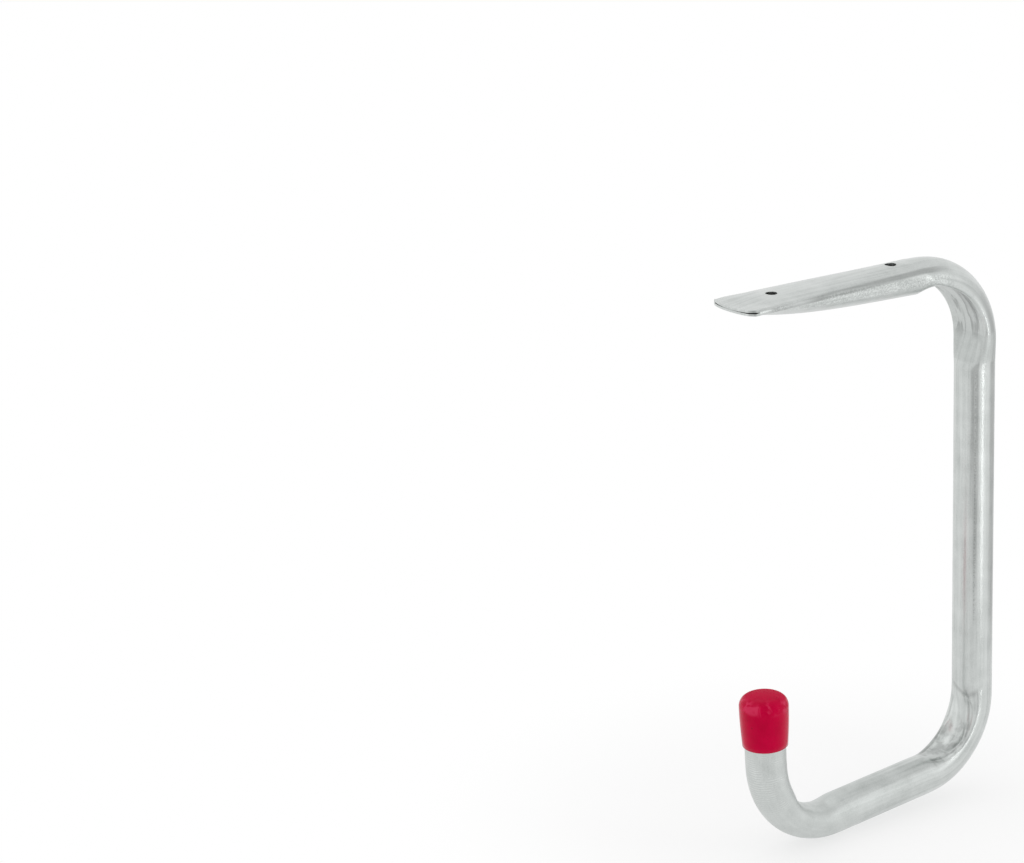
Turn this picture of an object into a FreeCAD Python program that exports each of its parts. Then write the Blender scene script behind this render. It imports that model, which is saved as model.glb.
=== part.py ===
import FreeCAD, Part
import math
import os
from FreeCAD import Vector

# Driving dimensions, in mm and degrees.
# Origin midway between the screw holes on the mounting plane, X along the tang towards the leg,
# Z up, and every bend in the plane Y = 0.

# Tube stock
tube_d = 19.0
wall = 1.0

# Tang, the pressed end that is screwed up against a beam
hole_spacing = 72.0
hole_d = 5.3
hole_to_tip = 24.5
hole_to_leg = 54.0
fold_bore_r = 0.65
tip_slot = 0.3
tip_bow = 3.0
tip_sink = 1.4
press_run = 22.0

# Bends: centreline radii, turns, and lengths between the corners of the centreline
top_bend_r = 37.0
top_turn = 89.0
leg_length = 243.5
heel_bend_r = 33.5
heel_turn = 87.5
arm_length = 130.5
front_bend_r = 37.0
front_turn = 90.5
end_length = 69.7

# Section forms as side radius over tube radius, then the crowns of the outer and inner wall.
# A crown is the angle that half of a wall turns through, and below zero the wall is dished.
round_form = (1.0, 95.0, 38.0)
tang_form = (0.28, 45.0, 89.0)
top_crush = (0.22, 78.0, -12.0)
heel_crush = (0.20, 108.0, -36.0)
front_crush = (0.75, 75.0, 25.0)
press_crown = 13.0

# How late along the tang the upper wall gains its crown, and how early the lower wall opens
crown_lag = 3.0
open_lead = 3.0

# Length of tube before and after each bend that its crushed inner wall runs on
top_run_in = 5.0
top_run_out = 12.0
heel_run_in = 5.0
heel_run_out = 5.0
front_run = 4.0

# How far the outer wall of a bend is drawn in, and how squarely each crush begins and ends
bend_draw_in = 0.6
top_squareness = 4.0
heel_squareness = 1.4
front_squareness = 2.0

# End cap
cap_cover = 21.5
cap_top = 3.5
cap_wall = 0.95
cap_swell = 0.9
cap_rounding = 4.5
cap_crown = 0.9
cap_flat_d = 6.0
cap_clearance = 0.05
cap_facets = 4

# How many strips the lofted skins have along the tang and round each bend
tang_strips = 17
top_strips = 13
heel_strips = 10
front_strips = 6

# Worked out from the above
tube_r = tube_d / 2
fold_r = wall + fold_bore_r
hole_x = hole_spacing / 2
tip_x = -hole_x - hole_to_tip
leg_x = hole_x + hole_to_leg


def setback(radius, turn):
    """Length that a bend takes from each side of its corner."""
    return radius * math.tan(math.radians(turn) / 2)


top_setback = setback(top_bend_r, top_turn)
heel_setback = setback(heel_bend_r, heel_turn)
front_setback = setback(front_bend_r, front_turn)
tang_run = leg_x - tip_x - top_setback

# The centreline from the tip on: length and turn of each stretch
stretches = [
    (tang_run, 0.0),
    (top_bend_r * math.radians(top_turn), top_turn),
    (leg_length - top_setback - heel_setback, 0.0),
    (heel_bend_r * math.radians(heel_turn), heel_turn),
    (arm_length - heel_setback - front_setback, 0.0),
    (front_bend_r * math.radians(front_turn), front_turn),
    (end_length - front_setback, 0.0),
]
starts = [sum(length for length, turn in stretches[:i]) for i in range(len(stretches) + 1)]
tube_length = starts[-1]


def station(distance):
    """Point of the centreline and its heading, at a distance from the tip."""
    x, z, heading = tip_x, -tube_r, 0.0
    left = distance
    for length, turn in stretches:
        step = min(left, length)
        angle = math.radians(turn) * step / length
        chord = step if turn == 0 else 2 * length / math.radians(turn) * math.sin(angle / 2)
        x += chord * math.cos(heading - angle / 2)
        z += chord * math.sin(heading - angle / 2)
        heading -= angle
        left -= step
    return x, z, heading


def mix(first, second, share):
    """Form part of the way from one form to another."""
    return tuple(a + (b - a) * share for a, b in zip(first, second))


def ease(share):
    """Smooth rise from 0 to 1, level at both ends."""
    share = min(max(share, 0.0), 1.0)
    return share * share * (3 - 2 * share)


def spread(crown):
    """Arc over chord of a wall with this crown."""
    angle = math.radians(crown)
    return angle / math.sin(angle) if abs(angle) > 1e-6 else 1.0


def half_flat(form):
    """Half the distance between the side centres: pressing leaves the girth of the tube as it was."""
    side, outer, inner = form
    return math.pi * tube_r * (1 - side) / (spread(outer) + spread(inner))


def tip_form():
    """Form at the tip, where the dished walls leave only a slot between them."""
    sag = wall + tip_slot / 2 - fold_r
    dish = math.degrees(2 * math.atan(sag / half_flat((fold_r / tube_r, 0.0, 0.0))))
    return (fold_r / tube_r, dish, dish)


def tang_form_at(distance):
    """Form of the tang: the upper wall is crowned past the pressed tip, and the lower wall opens out."""
    tip = tip_form()
    share = distance / tang_run
    side = tip[0] + (tang_form[0] - tip[0]) * share
    outer = tip[1] + (press_crown - tip[1]) * ease(distance / press_run)
    outer += (tang_form[1] - press_crown) * share ** crown_lag
    inner = tip[2] + (tang_form[2] - tip[2]) * (1 - (1 - share) ** open_lead)
    return (side, outer, inner)


def crush_share(distance, start, end, squareness):
    """Share of a bend's crush: fullest halfway along, gone at both ends."""
    share = (distance - start) / (end - start)
    return 1 - abs(2 * share - 1) ** squareness if 0 < share < 1 else 0.0


def form_at(distance):
    """Form of the section at a distance from the tip, and how far its outer wall is drawn in."""
    if distance < starts[1]:
        form = tang_form_at(distance)
    else:
        opened = ease((distance - starts[1]) / (starts[2] + top_run_out - starts[1]))
        form = mix(tang_form_at(tang_run), round_form, opened)
    draw_in = tip_sink * (1 - ease(distance / press_run))
    crushes = [
        (starts[1] - top_run_in, starts[2] + top_run_out, top_squareness, top_crush),
        (starts[3] - heel_run_in, starts[4] + heel_run_out, heel_squareness, heel_crush),
        (starts[5] - front_run, starts[6] + front_run, front_squareness, front_crush),
    ]
    for start, end, squareness, crush in crushes:
        share = crush_share(distance, start, end, squareness)
        form = mix(form, crush, share)
        draw_in += bend_draw_in * share
    return form, draw_in


def section(distance, inset):
    """Closed wire of four tangent arcs across the tube, inset from its outer skin."""
    form, draw_in = form_at(distance)
    outer, inner = (math.radians(c) for c in form[1:])
    side_r = form[0] * tube_r
    flat = half_flat(form)
    outer_rise = side_r + flat * math.tan(outer / 2)
    inner_drop = side_r + flat * math.tan(inner / 2)
    level = tube_r - draw_in - max(outer_rise, side_r)
    middle = (outer + math.pi - inner) / 2
    x, z, heading = station(distance)

    def place(across, out):
        return Vector(x - out * math.sin(heading), across, z + out * math.cos(heading))

    def on_side(hand, angle):
        reach = side_r - inset
        return place(hand * (flat + reach * math.sin(angle)), level + reach * math.cos(angle))

    def arc(first, through, last):
        bulge = (through - first).cross(last - first).Length / (last - first).Length
        if bulge < 1e-4:
            return Part.LineSegment(first, last).toShape()
        return Part.Arc(first, through, last).toShape()

    near_top, near_low = on_side(-1, outer), on_side(-1, math.pi - inner)
    far_top, far_low = on_side(1, outer), on_side(1, math.pi - inner)
    return Part.Wire([
        arc(near_top, place(0, level + outer_rise - inset), far_top),
        arc(far_top, on_side(1, middle), far_low),
        arc(far_low, place(0, level - inner_drop + inset), near_low),
        arc(near_low, on_side(-1, middle), near_top),
    ])


def distances():
    """Places of the sections: close together where the form changes, none between bends."""
    crush_start = starts[1] - top_run_in
    places = [crush_start * i / tang_strips for i in range(tang_strips)]
    bends = [
        (crush_start, starts[2] + top_run_out, top_strips),
        (starts[3] - heel_run_in, starts[4] + heel_run_out, heel_strips),
        (starts[5] - front_run, starts[6] + front_run, front_strips),
    ]
    for start, end, strips in bends:
        places += [start + (end - start) * i / strips for i in range(strips + 1)]
    return places + [tube_length]


def tip_trim():
    """Solid that trims the tip to an end bowed in plan, its middle furthest out."""
    half_width = half_flat(tip_form()) + fold_r
    bow_r = (half_width ** 2 + tip_bow ** 2) / (2 * tip_bow)
    block = Part.makeBox(2 * tip_bow, 2 * tube_d, 2 * tube_d, Vector(tip_x - tip_bow, -tube_d, -tube_d))
    kept = Part.makeCylinder(bow_r, 2 * tube_d, Vector(tip_x + bow_r, 0, -tube_d))
    return block.cut(kept)


def hook_tube():
    """Bent tube: outer skin less inner skin, trimmed at the tip, with the two screw holes."""
    places = distances()
    outer = Part.makeLoft([section(place, 0.0) for place in places], True, True)
    inner = Part.makeLoft([section(place, wall) for place in places], True, True)
    tube = outer.cut(inner).cut(tip_trim())
    for x in (-hole_x, hole_x):
        hole = Part.makeCylinder(hole_d / 2, 2 * tube_d, Vector(x, 0, -tube_d * 1.5))
        tube = tube.cut(hole)
    return tube.Solids[0]


def end_cap():
    """Soft cap over the upturned end, turned about the axis of the tube and seated on its end."""
    bore_r = tube_r + cap_clearance
    rim_r = bore_r + cap_wall
    shoulder_r = rim_r + cap_swell
    top = cap_cover + cap_top
    outline = [(0, cap_cover), (bore_r, cap_cover), (bore_r, 0), (rim_r, 0)]
    for i in range(cap_facets + 1):
        angle = math.radians(90 * i / cap_facets)
        outline.append((shoulder_r - cap_rounding * (1 - math.cos(angle)),
                        top - cap_crown - cap_rounding * (1 - math.sin(angle))))
    outline += [(cap_flat_d / 2, top), (0, top), outline[0]]
    profile = Part.Face(Part.makePolygon([Vector(r, 0, h) for r, h in outline]))
    cap = profile.revolve(Vector(0, 0, 0), Vector(0, 0, 1), 360)
    x, z, heading = station(tube_length - cap_cover)
    cap.rotate(Vector(0, 0, 0), Vector(0, 1, 0), 90 - math.degrees(heading))
    cap.translate(Vector(x, 0, z))
    return cap


os.makedirs("parts", exist_ok=True)
hook_tube().exportStep("parts/hook_tube.step")
end_cap().exportStep("parts/end_cap.step")
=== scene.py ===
import math

import bmesh
import bpy
from mathutils import Matrix, Vector, noise


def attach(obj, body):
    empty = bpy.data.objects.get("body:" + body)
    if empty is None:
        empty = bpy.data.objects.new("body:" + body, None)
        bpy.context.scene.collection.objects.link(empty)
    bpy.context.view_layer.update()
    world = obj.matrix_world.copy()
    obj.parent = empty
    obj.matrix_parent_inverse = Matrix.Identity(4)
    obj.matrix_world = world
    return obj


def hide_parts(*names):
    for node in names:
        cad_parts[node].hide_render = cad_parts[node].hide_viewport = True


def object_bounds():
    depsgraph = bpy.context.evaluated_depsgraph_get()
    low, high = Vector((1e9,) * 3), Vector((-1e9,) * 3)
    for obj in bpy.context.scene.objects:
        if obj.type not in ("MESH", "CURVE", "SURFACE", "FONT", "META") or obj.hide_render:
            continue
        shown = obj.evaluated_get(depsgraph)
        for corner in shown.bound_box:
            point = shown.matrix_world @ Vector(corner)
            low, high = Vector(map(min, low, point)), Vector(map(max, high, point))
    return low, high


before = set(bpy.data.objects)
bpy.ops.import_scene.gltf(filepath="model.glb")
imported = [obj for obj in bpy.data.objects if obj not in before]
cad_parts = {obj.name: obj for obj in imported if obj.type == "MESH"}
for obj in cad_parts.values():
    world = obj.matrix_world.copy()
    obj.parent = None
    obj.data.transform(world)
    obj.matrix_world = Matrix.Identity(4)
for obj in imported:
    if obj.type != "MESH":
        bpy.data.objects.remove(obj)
cad_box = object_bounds()

# Hook tube: one length of bright zinc-plated steel tube. One end is pressed flat and drilled to be
# screwed up under a beam, and three bends, crushed along their inside, turn it down, forward and up.
# It is drawn here as a straight tube of fibres, and each ring of it is then pressed and bent.
mm = 0.001
tube_r = 9.5
wall = 1.0
fibres = 144
hole_spacing = 72.0
hole_r = 2.65
hole_to_tip = 24.5
hole_to_leg = 54.0
fold_r = 1.35
tip_slot = 0.15
tip_bow = 3.0
tip_corner_near, tip_corner_far = 2.8, 0.4
tip_corner_from, tip_corner_run = 0.68, 0.4
tip_narrowing = 0.014
tip_sink = 1.4
press_run = 22.0
press_crown = 13.0
crown_lag = 3.0
open_lead = 3.0
top_bend_r, top_turn = 37.0, math.radians(89.0)
heel_bend_r, heel_turn = 33.5, math.radians(87.5)
front_bend_r, front_turn = 37.0, math.radians(90.5)
leg_length = 243.5
arm_length = 130.5
end_length = 69.7

# Forms of the section: side radius over tube radius, then the crowns of the outer and inner wall in degrees
round_form = (1.0, 95.0, 38.0)
tang_form = (0.28, 45.0, 89.0)
top_crush = (0.22, 78.0, -12.0)
heel_crush = (0.20, 108.0, -36.0)
front_crush = (0.75, 75.0, 25.0)
top_run_in, top_run_out = 5.0, 12.0
heel_run = 5.0
front_run = 4.0
bend_draw_in = 0.6
top_power, heel_power, front_power = 4.0, 1.4, 2.0

top_setback = top_bend_r * math.tan(top_turn / 2)
heel_setback = heel_bend_r * math.tan(heel_turn / 2)
front_setback = front_bend_r * math.tan(front_turn / 2)
tip_x = -hole_spacing / 2 - hole_to_tip
tang_run = hole_spacing + hole_to_tip + hole_to_leg - top_setback
stretches = [
    (tang_run, 0.0),
    (top_bend_r * top_turn, top_turn),
    (leg_length - top_setback - heel_setback, 0.0),
    (heel_bend_r * heel_turn, heel_turn),
    (arm_length - heel_setback - front_setback, 0.0),
    (front_bend_r * front_turn, front_turn),
    (end_length - front_setback, 0.0),
]
starts = [sum(length for length, turn in stretches[:i]) for i in range(len(stretches) + 1)]
tube_length = starts[-1]
crushed = {
    "top": (starts[1] - top_run_in, starts[2] + top_run_out, top_crush, top_power),
    "heel": (starts[3] - heel_run, starts[4] + heel_run, heel_crush, heel_power),
    "front": (starts[5] - front_run, starts[6] + front_run, front_crush, front_power),
}


def station(distance):
    """Point of the centreline and its heading, at a distance from the tip."""
    x, z, heading = tip_x, -tube_r, 0.0
    for length, turn in stretches:
        step = min(distance, length)
        angle = turn * step / length
        chord = step if turn == 0 else 2 * length / turn * math.sin(angle / 2)
        x += chord * math.cos(heading - angle / 2)
        z += chord * math.sin(heading - angle / 2)
        heading -= angle
        distance -= step
    return x, z, heading


def mix(first, second, share):
    """Form part of the way from one form to another."""
    return tuple(a + (b - a) * share for a, b in zip(first, second))


def ease(share):
    """Smooth rise from 0 to 1, level at both ends."""
    share = min(max(share, 0.0), 1.0)
    return share * share * (3 - 2 * share)


def spread(crown):
    """Arc over chord of a wall with this crown."""
    return crown / math.sin(crown) if abs(crown) > 1e-6 else 1.0


def tang_form_at(distance):
    """Form of the tang: flat at the tip, its upper wall crowned late and its lower wall opened early."""
    share = distance / tang_run
    flat = math.pi * (tube_r - fold_r) / 2
    dish = math.degrees(2 * math.atan((wall + tip_slot / 2 - fold_r) / flat))
    side = fold_r / tube_r
    outer = dish + (press_crown - dish) * ease(distance / press_run)
    outer += (tang_form[1] - press_crown) * share ** crown_lag
    inner = dish + (tang_form[2] - dish) * (1 - (1 - share) ** open_lead)
    return (side + (tang_form[0] - side) * share, outer, inner)


def crush_share(distance, start, end, power):
    """Share of a bend's crush: fullest halfway along, gone at both ends."""
    share = (distance - start) / (end - start)
    return 1 - abs(2 * share - 1) ** power if 0 < share < 1 else 0.0


def form_at(distance):
    """Form of the section at a distance from the tip, and how far its outer wall is drawn in."""
    if distance < starts[1]:
        form = tang_form_at(distance)
    else:
        opened = ease((distance - starts[1]) / (crushed["top"][1] - starts[1]))
        form = mix(tang_form_at(tang_run), round_form, opened)
    drawn = tip_sink * (1 - ease(distance / press_run))
    for start, end, crush, power in crushed.values():
        share = crush_share(distance, start, end, power)
        form = mix(form, crush, share)
        drawn += bend_draw_in * share
    return form, drawn


def press(form, drawn, girth):
    """Place across and out of the pressed section, at a girth from 0 on the outer wall to 1 on the inner."""
    side = form[0] * tube_r
    outer, inner = math.radians(form[1]), math.radians(form[2])
    flat = math.pi * (tube_r - side) / (spread(outer) + spread(inner))
    rise = side + flat * math.tan(outer / 2)
    drop = side + flat * math.tan(inner / 2)
    level = tube_r - drawn - max(rise, side)
    run = girth * math.pi * tube_r
    outer_run = side * outer + flat * spread(outer)
    inner_run = side * inner + flat * spread(inner)
    left = math.pi * tube_r - run
    if run < outer_run:
        bow = side + flat / math.sin(outer)
        turned = outer * run / outer_run
        return bow * math.sin(turned), level + rise - bow * (1 - math.cos(turned))
    if left < inner_run:
        bow = side + flat / math.sin(inner)
        turned = inner * left / inner_run
        return bow * math.sin(turned), level - drop + bow * (1 - math.cos(turned))
    turned = outer + (run - outer_run) / side
    return flat + side * math.sin(turned), level + side * math.cos(turned)


# Bending has puckered the inner walls: from and to, degrees of reach, width and length of a pucker, depth
puckered = [
    (starts[1] + 10, starts[2] + 2, 54, 2.2, 15.0, 0.35),
    (starts[3] + 1, starts[4] - 3, 54, 4.5, 6.0, 0.45),
    (starts[5] + 2, starts[5] + 38, 78, 3.6, 4.5, 0.55),
]
pucker_fade, pucker_fade_round = 4.0, 16.0

# A lip runs aslant where the heel begins: its place, degrees round, slant in mm a degree, depth and width
heel_lip = starts[3] - 0.7
lip_lap = 212.0
lip_slant = 0.1
lip_depth, lip_width = 0.4, 1.1
lip_middle, lip_reach, lip_fade = 200.0, 62.0, 15.0

# Two creases meet at the heel's knee, on each side of the inner wall: place, degrees, depth and width
heel_knee = starts[3] + 25.3
knee_lap = 54.0
knee_depth, knee_width = 0.35, 6.0
knee_reach, knee_fade = 27.0, 5.0

# The inner wall is dented in the first half of the front bend
dent_start, dent_end = starts[5] - 4.0, starts[5] + 42.0
dent_rise, dent_fall = 10.0, 12.0
dent_depth = 1.3
dent_reach, dent_fade = 66.0, 34.0


def pushed_in(distance, lap):
    """Depth of the puckers, the creases where the heel begins and at its knee, and the dent at the front."""
    from_inner = abs(lap - 180)
    depth = 0.0
    for start, end, reach, wide, long, deep in puckered:
        share = ease((distance - start) / pucker_fade) * ease((end - distance) / pucker_fade)
        share *= ease((reach - from_inner) / pucker_fade_round)
        if share > 0:
            spot = Vector((math.radians(lap) * tube_r / wide, distance / long, start))
            depth += deep * share * (0.5 + 0.5 * noise.noise(spot))
    off_lip = distance - heel_lip + lip_slant * abs(lap - lip_lap)
    lip_share = ease((lip_reach - abs(lap - lip_middle)) / lip_fade)
    depth += lip_depth * math.exp(-(off_lip / lip_width) ** 2) * lip_share
    dent_share = ease((distance - dent_start) / dent_rise) * ease((dent_end - distance) / dent_fall)
    depth += dent_depth * dent_share * ease((dent_reach - from_inner) / dent_fade)
    off_knee = abs(distance - heel_knee)
    off_crease = (from_inner - knee_lap + off_knee) / knee_width
    depth += knee_depth * math.exp(-off_crease ** 2) * ease((knee_reach - off_knee) / knee_fade)
    return depth


# The rings lie close together where the tube is pressed or bent, and apart where it is straight
bend_pitch, tang_pitch, straight_pitch = 1.1, 1.6, 6.0
bend_margin = 4.0
rings = []
reach = 0.0
while reach < tube_length:
    rings.append(reach)
    in_bend = any(start - bend_margin < reach < end + bend_margin
                  for start, end, crush, power in crushed.values())
    if in_bend:
        reach += bend_pitch
    elif reach < starts[1]:
        reach += tang_pitch
    else:
        reach += straight_pitch
rings.append(tube_length)

tube = bmesh.new()
straight = tube.verts.layers.float_vector.new("straight")
bmesh.ops.create_circle(tube, segments=fibres, radius=tube_r)
for vert in tube.verts:
    vert[straight] = vert.co
ring_verts, ring_edges = tube.verts[:], tube.edges[:]
for distance in rings:
    if distance > 0:
        grown = bmesh.ops.extrude_edge_only(tube, edges=ring_edges)["geom"]
        ring_verts = [part for part in grown if isinstance(part, bmesh.types.BMVert)]
        fresh = set(ring_verts)
        ring_edges = [part for part in grown if isinstance(part, bmesh.types.BMEdge)
                      and part.verts[0] in fresh and part.verts[1] in fresh]
    x, z, heading = station(distance)
    form, drawn = form_at(distance)
    half_width = press(form, drawn, 0.5)[0]
    pressed = 1 - ease(distance / press_run)
    for vert in ring_verts:
        fibre = vert[straight]
        angle = math.atan2(fibre.y, fibre.x)
        across, out = press(form, drawn, abs(angle) / math.pi)
        depth = pushed_in(distance, math.degrees(angle) % 360)
        across -= depth * math.sin(abs(angle))
        out -= depth * math.cos(angle)
        edge = across / half_width
        corner = tip_corner_near if angle < 0 else tip_corner_far
        rounded_off = corner * ease((edge - tip_corner_from) / tip_corner_run)
        drawn_back = (tip_bow * edge ** 2 + rounded_off) * pressed
        across *= 1 - tip_narrowing * pressed
        vert.co = Vector((x + drawn_back - out * math.sin(heading), math.copysign(across, angle),
                          z + out * math.cos(heading))) * mm
        vert[straight] = (fibre.x, fibre.y, distance)
bmesh.ops.recalc_face_normals(tube, faces=tube.faces)
for face in tube.faces:
    face.smooth = True
tube_mesh = bpy.data.meshes.new("zinc_tube")
tube.to_mesh(tube_mesh)
tube.free()
zinc_tube = bpy.data.objects.new("zinc_tube", tube_mesh)
bpy.context.scene.collection.objects.link(zinc_tube)

# The wall gets its thickness inwards, and the screw holes are then drilled through both walls of the tang
drill_length = 60.0
drill_segments = 48
tube_sharp = math.radians(40)
thick = zinc_tube.modifiers.new("wall", "SOLIDIFY")
thick.thickness = wall * mm
thick.offset = -1.0
thick.use_even_offset = True
drill = bmesh.new()
for hand in (-1, 1):
    hole_place = Matrix.Translation((hand * hole_spacing / 2 * mm, 0, 0))
    bmesh.ops.create_cone(drill, cap_ends=True, segments=drill_segments, radius1=hole_r * mm,
                          radius2=hole_r * mm, depth=drill_length * mm, matrix=hole_place)
drill_mesh = bpy.data.meshes.new("drill")
drill.to_mesh(drill_mesh)
drill.free()
drill_bit = bpy.data.objects.new("drill", drill_mesh)
bpy.context.scene.collection.objects.link(drill_bit)
cut = zinc_tube.modifiers.new("screw_holes", "BOOLEAN")
cut.object = drill_bit
cut.operation = "DIFFERENCE"
cut.solver = "EXACT"
drilled = bpy.data.meshes.new_from_object(
    zinc_tube.evaluated_get(bpy.context.evaluated_depsgraph_get()))
zinc_tube.modifiers.clear()
zinc_tube.data = drilled
bpy.data.objects.remove(drill_bit)
drilled.set_sharp_from_angle(angle=tube_sharp)


class Value:
    """Output of a shader node, with sums and products that add Math nodes to the tree in hand."""
    tree = None

    def __init__(self, socket):
        self.socket = socket

    @classmethod
    def node(cls, kind, settings, inputs, output=0):
        """Output of a new node with these settings, and values or links in its sockets."""
        made = cls.tree.nodes.new(kind)
        for name, value in settings.items():
            if name == "stops":
                ramp = made.color_ramp.elements
                while len(ramp) < len(value):
                    ramp.new(0.5)
                for stop, (place, shade) in zip(ramp, value):
                    stop.position = place
                    stop.color = (*shade, 1.0)
            else:
                setattr(made, name, value)
        for name, value in inputs.items():
            if isinstance(value, Value):
                cls.tree.links.new(value.socket, made.inputs[name])
            else:
                made.inputs[name].default_value = value
        return cls(made.outputs[output])

    @classmethod
    def maths(cls, operation, first, second=0.0):
        return cls.node("ShaderNodeMath", {"operation": operation}, {0: first, 1: second})

    def __add__(self, other):
        return self.maths("ADD", self, other)

    def __radd__(self, other):
        return self.maths("ADD", other, self)

    def __sub__(self, other):
        return self.maths("SUBTRACT", self, other)

    def __rsub__(self, other):
        return self.maths("SUBTRACT", other, self)

    def __mul__(self, other):
        return self.maths("MULTIPLY", self, other)

    def __rmul__(self, other):
        return self.maths("MULTIPLY", other, self)

    def parts(self):
        """X, Y and Z of a vector."""
        split = self.node("ShaderNodeSeparateXYZ", {}, {"Vector": self}).socket.node
        return [Value(part) for part in split.outputs]

    def off(self, centre):
        """How far it is from the centre, to either side."""
        return self.maths("ABSOLUTE", self - centre)

    def band(self, low, high):
        """0 below low, 1 above high, smooth between; the other way round where low is above high."""
        rising = low < high
        return self.node("ShaderNodeMapRange", {"interpolation_type": "SMOOTHSTEP"}, {
            "Value": self, "From Min": min(low, high), "From Max": max(low, high),
            "To Min": 0.0 if rising else 1.0, "To Max": 1.0 if rising else 0.0})

    def window(self, low, high, soft):
        """1 between low and high, fading to 0 within them."""
        return self.band(low, low + soft) * self.band(high, high - soft)

    def line(self, centre, width):
        """1 at the centre, fading to 0 at this width on either side."""
        return self.off(centre).band(width, 0.0)


zinc = bpy.data.materials.new("zinc_plate")
zinc.use_nodes = True
Value.tree = zinc.node_tree
zinc_shader = zinc.node_tree.nodes["Principled BSDF"]

# Millimetres along the tube, and degrees round it: 0 outer wall, 90 far side, 180 inner wall, 270 near side
place = Value.node("ShaderNodeAttribute", {"attribute_name": "straight"}, {}, "Vector")
outward, sideways, along = place.parts()
lap = Value.maths("FLOORED_MODULO", Value.maths("ARCTAN2", sideways, outward) * math.degrees(1), 360.0)
from_inner = lap.off(180.0)

# All along: streaks from the drawing die, clouds and grain in the plate, and on the leg the welded seam,
# darkened further as a painted reflection of the dark room
seam_lap, seam_core_lap = 230.0, 228.0
draw_stretch = (1.0, 1.0, 0.035)
drawn_out = Value.node("ShaderNodeVectorMath", {"operation": "MULTIPLY"}, {0: place, 1: draw_stretch})
streaks = Value.node("ShaderNodeTexNoise", {}, {"Vector": drawn_out, "Scale": 0.7, "Detail": 5.0})
streaks = 0.5 + (streaks - 0.5) * (1.0 - along.band(starts[4], starts[5] + 20.0) * 0.75)
clouds = Value.node("ShaderNodeTexNoise", {}, {"Vector": place, "Scale": 0.12, "Detail": 3.0})
grain = Value.node("ShaderNodeTexNoise", {}, {"Vector": place, "Scale": 1.9, "Detail": 3.0})
stipple = Value.node("ShaderNodeTexNoise", {}, {"Vector": place, "Scale": 1.15, "Detail": 2.0})
stipple = stipple.band(0.42, 0.60)
seam_and_painted_reflection = lap.line(seam_lap, 7.0) * 0.8 + lap.line(seam_core_lap, 3.0) * 0.6
seam_and_painted_reflection = seam_and_painted_reflection * along.window(176.0, 312.0, 12.0) * (0.35 + stipple * 0.65)

# The tang: painted shade along its edge and shoulder, on a line that climbs to the outer wall, and its
# stippled flank, painted brighter as a sheen
edge_climb = 0.30
off_edge = from_inner - along * edge_climb
tip_edge_shade = off_edge.window(75.0, 96.0, 6.0) * along.window(3.0, 50.0, 10.0) * (0.35 + stipple * 0.65)
shoulder = off_edge.window(73.5, 98.5, 8.0) * along.window(30.0, 130.0, 18.0)
flank = from_inner.window(62.0, 108.0, 10.0) * along.window(16.0, 132.0, 14.0)

# The top bend: wrinkles in its hollow, with painted shade in the wrinkles, over the hollow and in its near
# upper part, and the mark of the bender's clamp
gather_stretch = (1.0, 1.0, 0.16)
hollow = along.window(122.0, 172.0, 8.0) * from_inner.band(66.0, 44.0)
gathered = Value.node("ShaderNodeVectorMath", {"operation": "MULTIPLY"}, {0: place, 1: gather_stretch})
wrinkles = Value.node("ShaderNodeTexNoise", {}, {
    "Vector": gathered, "Scale": 0.42, "Detail": 4.0, "Distortion": 0.8}).band(0.47, 0.62) * hollow
painted_hollow_shade = along.window(126.0, 160.0, 10.0) * lap.window(184.0, 236.0, 12.0)
clamp = along.window(165.5, 181.0, 1.5)

# The heel: painted shade along its lip and in the creases at the knee, dapples on the inner wall, and a
# painted highlight on it
lip_path = along + lap.off(lip_lap) * lip_slant
lip = lip_path.line(heel_lip, 2.4) * lap.window(150.0, 246.0, 14.0)
lip = lip + lap.line(lip_lap, 24.0) * along.window(heel_lip - 8.0, heel_lip + 2.0, 5.0) * 0.7
dapple = Value.node("ShaderNodeTexNoise", {}, {
    "Vector": place, "Scale": 0.22, "Detail": 2.0, "Distortion": 0.5}).band(0.40, 0.62)
dapple = dapple * along.window(heel_knee - 14.0, starts[4] + 6.0, 8.0) * from_inner.band(64.0, 44.0)
painted_heel_highlight = along.window(starts[3] + 1.0, heel_knee + 2.0, 7.0) * lap.window(100.0, 182.0, 18.0)
crease = (from_inner + along.off(heel_knee)).line(knee_lap, 7.0)
crease = crease * along.window(heel_knee - 26.0, heel_knee + 26.0, knee_fade)
crease = crease + from_inner.line(61.0, 4.0) * along.window(starts[3] - 6.0, heel_knee + 8.0, 5.0)

# The front end: chatter marks across the tube
chatter_pitch = 6.0
front_end = along.window(starts[6] - 22.0, starts[7], 8.0)
chatter = Value.maths("SINE", along * chatter_pitch + clouds * 9.0) * front_end * clouds.band(0.42, 0.6)

# The plate's colour: a tone from the streaks and grain, darkened or brightened by each of the marks, among
# them painted shade and painted highlights
zinc_dark, zinc_mid, zinc_light = (0.475, 0.50, 0.488), (0.585, 0.61, 0.598), (0.67, 0.695, 0.683)
darker = (
    (shoulder, 0.31), (seam_and_painted_reflection, 0.26), (wrinkles, 0.30), (lip, 0.22), (crease, 0.22), (hollow, 0.06),
    (painted_hollow_shade, 0.16), (dapple, 0.24), (tip_edge_shade, 0.36))
brighter = ((painted_heel_highlight, 0.14), (chatter, 0.09), (flank * (stipple - 0.15), 0.26))
shade = streaks * (0.45 - hollow * 0.25) + hollow * 0.125 + clouds * 0.27 + grain * 0.28
zinc_tone = Value.node("ShaderNodeValToRGB", {
    "stops": [(0.36, zinc_dark), (0.5, zinc_mid), (0.64, zinc_light)]}, {"Fac": shade})
marks_and_painted_light = 1.0
for mark, weight in darker:
    marks_and_painted_light = marks_and_painted_light - mark * weight
for mark, weight in brighter:
    marks_and_painted_light = marks_and_painted_light + mark * weight
zinc_colour = Value.node("ShaderNodeVectorMath", {"operation": "SCALE"}, {0: zinc_tone, "Scale": marks_and_painted_light})
zinc.node_tree.links.new(zinc_colour.socket, zinc_shader.inputs["Base Color"])

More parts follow.
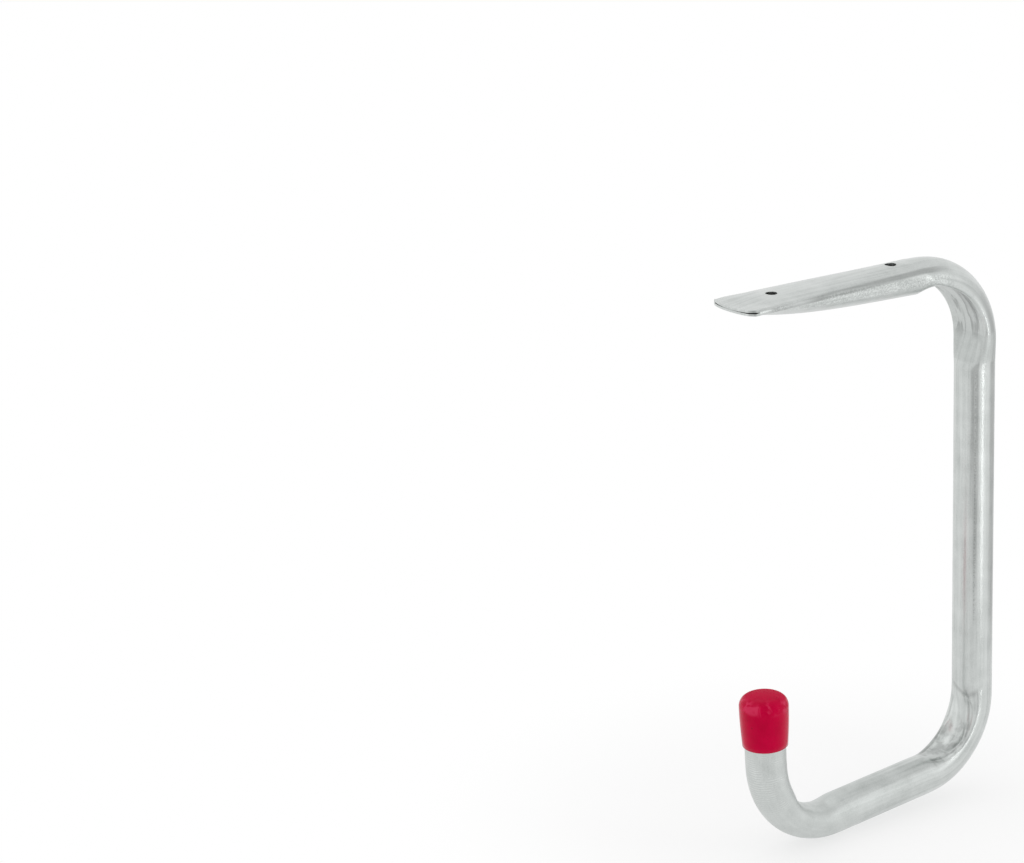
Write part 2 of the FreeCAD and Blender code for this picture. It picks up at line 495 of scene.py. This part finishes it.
satin = along.band(starts[4] - 4.0, starts[4] + 26.0)
zinc_rough = 0.22 + streaks * 0.18 + clamp * 0.25 + flank * stipple * 0.15 + seam_and_painted_reflection * 0.2 + satin * 0.12
zinc.node_tree.links.new(zinc_rough.socket, zinc_shader.inputs["Roughness"])
relief = streaks * (0.4 - front_end * 0.3) + grain * 0.35 + flank * stipple * 0.4
relief = relief + chatter * 0.6 - seam_and_painted_reflection * 0.5 - wrinkles * 0.8
zinc_bump = Value.node("ShaderNodeBump", {}, {
    "Height": relief, "Distance": 0.12 * mm, "Strength": 0.6}, "Normal")
zinc.node_tree.links.new(zinc_bump.socket, zinc_shader.inputs["Normal"])
zinc_shader.inputs["Metallic"].default_value = 1.0
zinc_tube.data.materials.clear()
zinc_tube.data.materials.append(zinc)
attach(zinc_tube, "root")
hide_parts("hook_tube")

# End cap: a dipped soft vinyl cap, pushed over the upturned end of the tube.
# It swells a little at the shoulder, where the square end of the tube stretches it.
cap_cover = 21.5
cap_top = 3.5
cap_clearance = 0.05
cap_wall = 0.95
cap_swell = 0.9
cap_lip_r = 0.3
cap_rounding = 4.6
cap_crown = 0.9
cap_crown_at_edge = 0.35
cap_side_steps, cap_rounding_steps, cap_crown_steps = 8, 24, 8
cap_steps = 160
cap_sharp = math.radians(50)
cap_bore_r = tube_r + cap_clearance
cap_rim_r = cap_bore_r + cap_wall
cap_shoulder_r = cap_rim_r + cap_swell
cap_height = cap_cover + cap_top
rounding_foot = cap_height - cap_crown - cap_rounding

profile = [(0.0, cap_cover), (cap_bore_r, cap_cover), (cap_bore_r, 0.0), (cap_rim_r - cap_lip_r, 0.0),
           (cap_rim_r, cap_lip_r)]
for i in range(1, cap_side_steps + 1):
    share = i / cap_side_steps
    profile.append((cap_rim_r + (cap_shoulder_r - cap_rim_r) * math.sin(share * math.pi / 2),
                    cap_lip_r + (rounding_foot - cap_lip_r) * share))
for i in range(1, cap_rounding_steps + 1):
    turned = math.radians(90 * i / cap_rounding_steps)
    inward = 1 - math.cos(turned)
    raised = cap_crown * cap_crown_at_edge * inward
    profile.append((cap_shoulder_r - cap_rounding * inward,
                    rounding_foot + cap_rounding * math.sin(turned) + raised))
edge_r, edge_h = profile[-1]
for i in range(1, cap_crown_steps + 1):
    share = 1 - i / cap_crown_steps
    profile.append((edge_r * share, cap_height - (cap_height - edge_h) * share ** 2))
cap = bmesh.new()
points = [cap.verts.new((r * mm, 0, h * mm)) for r, h in profile]
outline = [cap.edges.new(pair) for pair in zip(points, points[1:])]
bmesh.ops.spin(cap, geom=points + outline, cent=(0, 0, 0), axis=(0, 0, 1), angle=math.tau,
               steps=cap_steps, use_merge=True)
bmesh.ops.remove_doubles(cap, verts=cap.verts, dist=1e-6)
bmesh.ops.recalc_face_normals(cap, faces=cap.faces)
cap_x, cap_z, cap_heading = station(tube_length - cap_cover)
cap_turn = Matrix.Rotation(math.pi / 2 - cap_heading, 4, "Y")
seat = Matrix.Translation((cap_x * mm, 0, cap_z * mm)) @ cap_turn
bmesh.ops.transform(cap, matrix=seat, verts=cap.verts)
for face in cap.faces:
    face.smooth = True
cap_mesh = bpy.data.meshes.new("vinyl_cap")
cap.to_mesh(cap_mesh)
cap.free()
cap_mesh.set_sharp_from_angle(angle=cap_sharp)
vinyl_cap = bpy.data.objects.new("vinyl_cap", cap_mesh)
bpy.context.scene.collection.objects.link(vinyl_cap)

# The vinyl is mottled and pitted, has painted highlights in patches round the shoulder, and is dull on top
vinyl_deep, vinyl_bright = (0.44, 0.0004, 0.031), (0.51, 0.0008, 0.039)
pit_red = (0.10, 0.002, 0.012, 1.0)
highlight_red = (0.66, 0.045, 0.12, 1.0)
sheen_tint = (1.0, 0.2, 0.32, 1.0)
vinyl = bpy.data.materials.new("red_vinyl")
vinyl.use_nodes = True
Value.tree = vinyl.node_tree
vinyl_shader = vinyl.node_tree.nodes["Principled BSDF"]
spot = Value.node("ShaderNodeTexCoord", {}, {}, "Object")
spot_z = spot.parts()[2]
shoulder_z = (cap_z + rounding_foot) * mm
mottle = Value.node("ShaderNodeTexNoise", {}, {"Vector": spot, "Scale": 160.0, "Detail": 3.0})
painted_shoulder_highlight = Value.node("ShaderNodeTexNoise", {}, {
    "Vector": spot, "Scale": 190.0, "Detail": 4.0, "Distortion": 0.6}).band(0.50, 0.66)
painted_shoulder_highlight = painted_shoulder_highlight * spot_z.window(shoulder_z - 2.5 * mm, shoulder_z + 5.5 * mm, 3.0 * mm)
pits = Value.node("ShaderNodeTexNoise", {}, {"Vector": spot, "Scale": 700.0, "Detail": 2.0})
fleck = pits.band(0.70, 0.76)
vinyl_colour = Value.node("ShaderNodeValToRGB", {
    "stops": [(0.3, vinyl_deep), (0.7, vinyl_bright)]}, {"Fac": mottle})
vinyl_flecked = Value.node("ShaderNodeMix", {"data_type": "RGBA"}, {
    0: fleck * 0.6, 6: vinyl_colour, 7: pit_red}, 2)
vinyl_highlighted = Value.node("ShaderNodeMix", {"data_type": "RGBA"}, {
    0: painted_shoulder_highlight * 0.6, 6: vinyl_flecked, 7: highlight_red}, 2)
vinyl.node_tree.links.new(vinyl_highlighted.socket, vinyl_shader.inputs["Base Color"])
dulled = spot_z.band(shoulder_z + 2.5 * mm, shoulder_z + 4.5 * mm)
vinyl_rough = 0.13 + mottle * 0.08 + dulled * 0.5
vinyl.node_tree.links.new(vinyl_rough.socket, vinyl_shader.inputs["Roughness"])
vinyl_bump = Value.node("ShaderNodeBump", {}, {
    "Height": mottle * 0.7 - fleck * 0.5, "Distance": 0.2 * mm, "Strength": 0.4}, "Normal")
vinyl.node_tree.links.new(vinyl_bump.socket, vinyl_shader.inputs["Normal"])
vinyl_shader.inputs["Specular IOR Level"].default_value = 0.15
vinyl_shader.inputs["Specular Tint"].default_value = sheen_tint
vinyl_cap.data.materials.append(vinyl)
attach(vinyl_cap, "root")
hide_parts("end_cap")

# Studio: pale paper under the hook, which takes its shadow and goes over to white away from it,
# a white room with two darker parts for the metal to mirror, soft lamps, and the camera of the photograph.
floor_gap = 0.001
floor_half = 0.27
floor_middle = (0.04, 0.06)
floor_z = cad_box[0].z - floor_gap
paper_grey = (0.9, 0.9, 0.9, 1.0)
pure_white = (1.0, 1.0, 1.0, 1.0)
white_near_hook = 0.62
white_mirrored = 0.85
white_from, white_at = 0.08, 0.22
hook_middle = (0.02, 0.0, 0.0)

floor_mesh = bmesh.new()
bmesh.ops.create_grid(floor_mesh, x_segments=1, y_segments=1, size=floor_half,
                      matrix=Matrix.Translation((*floor_middle, floor_z)))
floor_data = bpy.data.meshes.new("floor")
floor_mesh.to_mesh(floor_data)
floor_mesh.free()
floor = bpy.data.objects.new("floor", floor_data)
bpy.context.scene.collection.objects.link(floor)
paper = bpy.data.materials.new("paper")
paper.use_nodes = True
Value.tree = paper.node_tree
paper_shader = paper.node_tree.nodes["Principled BSDF"]
paper_shader.inputs["Base Color"].default_value = paper_grey
paper_shader.inputs["Roughness"].default_value = 0.9
floor_spot = Value.node("ShaderNodeTexCoord", {}, {}, "Object")
level_spot = Value.node("ShaderNodeVectorMath", {"operation": "MULTIPLY"}, {
    0: floor_spot, 1: (1.0, 1.0, 0.0)})
away = Value.node("ShaderNodeVectorMath", {"operation": "DISTANCE"}, {
    0: level_spot, 1: hook_middle}, "Value")
seen = Value.node("ShaderNodeLightPath", {}, {}, "Is Camera Ray")
mirrored = Value.node("ShaderNodeLightPath", {}, {}, "Is Glossy Ray")
white = Value.node("ShaderNodeEmission", {}, {"Color": pure_white, "Strength": 1.0})
whitened = white_near_hook + away.band(white_from, white_at) * (1.0 - white_near_hook)
paper_mix = Value.node("ShaderNodeMixShader", {}, {
    0: mirrored * white_mirrored + seen * whitened, 1: Value(paper_shader.outputs[0]), 2: white})
paper.node_tree.links.new(paper_mix.socket, paper.node_tree.nodes["Material Output"].inputs["Surface"])
floor_data.materials.append(paper)

# The room is white to the camera. The metal sees it dimmer overhead, and low in front and at the right.
low_in_front = (-0.638, -0.708, -0.305)
low_at_right = (0.94, -0.16, -0.305)
world = bpy.data.worlds.new("studio")
bpy.context.scene.world = world
world.use_nodes = True
Value.tree = world.node_tree
sky = Value.node("ShaderNodeTexCoord", {}, {}, "Generated")
height = sky.parts()[2]
towards = Value.node("ShaderNodeVectorMath", {"operation": "DOT_PRODUCT"}, {
    0: sky, 1: low_in_front}, "Value")
beside = Value.node("ShaderNodeVectorMath", {"operation": "DOT_PRODUCT"}, {
    0: sky, 1: low_at_right}, "Value")
backdrop = world.node_tree.nodes["Background"]
backdrop.inputs["Color"].default_value = pure_white
room = 1.0 - height.band(0.25, 0.95) * 0.16 - towards.band(0.90, 0.98) * 0.5 - beside.band(0.86, 1.0) * 0.4
seen = Value.node("ShaderNodeLightPath", {}, {}, "Is Camera Ray")
strength = seen + (1.0 - seen) * room
world.node_tree.links.new(strength.socket, backdrop.inputs["Strength"])

lamp_aim = Vector((0.02, 0, -0.13))
for name, power, width, tall, spot_at in (
        ("lamp_above", 3.2, 1.6, 1.6, (-0.2, 0.3, 1.5)),
        ("lamp_left", 0.12, 0.3, 0.3, (-0.56, 0.71, 0.61)),
        ("lamp_right", 0.04, 0.2, 0.2, (0.53, -0.64, 0.09)),
        ("lamp_strip", 0.08, 0.022, 0.34, (0.109, -0.27, -0.10))):
    lamp = bpy.data.lights.new(name, "AREA")
    lamp.energy = power
    lamp.shape = "RECTANGLE"
    lamp.size = width
    lamp.size_y = tall
    lamp_object = bpy.data.objects.new(name, lamp)
    lamp_object.location = spot_at
    lamp_object.rotation_euler = (lamp_aim - Vector(spot_at)).to_track_quat("-Z", "Y").to_euler()
    bpy.context.scene.collection.objects.link(lamp_object)

camera = bpy.data.cameras.new("camera")
camera.sensor_width = 36.0
camera.lens = 131.19
camera.clip_start, camera.clip_end = 0.1, 30.0
camera_object = bpy.data.objects.new("camera", camera)
camera_at = (-1.0968, -1.1714, 0.4424)
view_right = Vector((0.784513, -0.619876, -0.017122))
view_up = Vector((0.201623, 0.228869, 0.952348))
view_back = Vector((-0.586419, -0.750582, 0.304532))
camera_object.matrix_world = Matrix.Translation(camera_at) @ Matrix(
    (view_right, view_up, view_back)).transposed().to_4x4()
bpy.context.scene.collection.objects.link(camera_object)
bpy.context.scene.camera = camera_object
bpy.context.scene.view_settings.view_transform = "Standard"
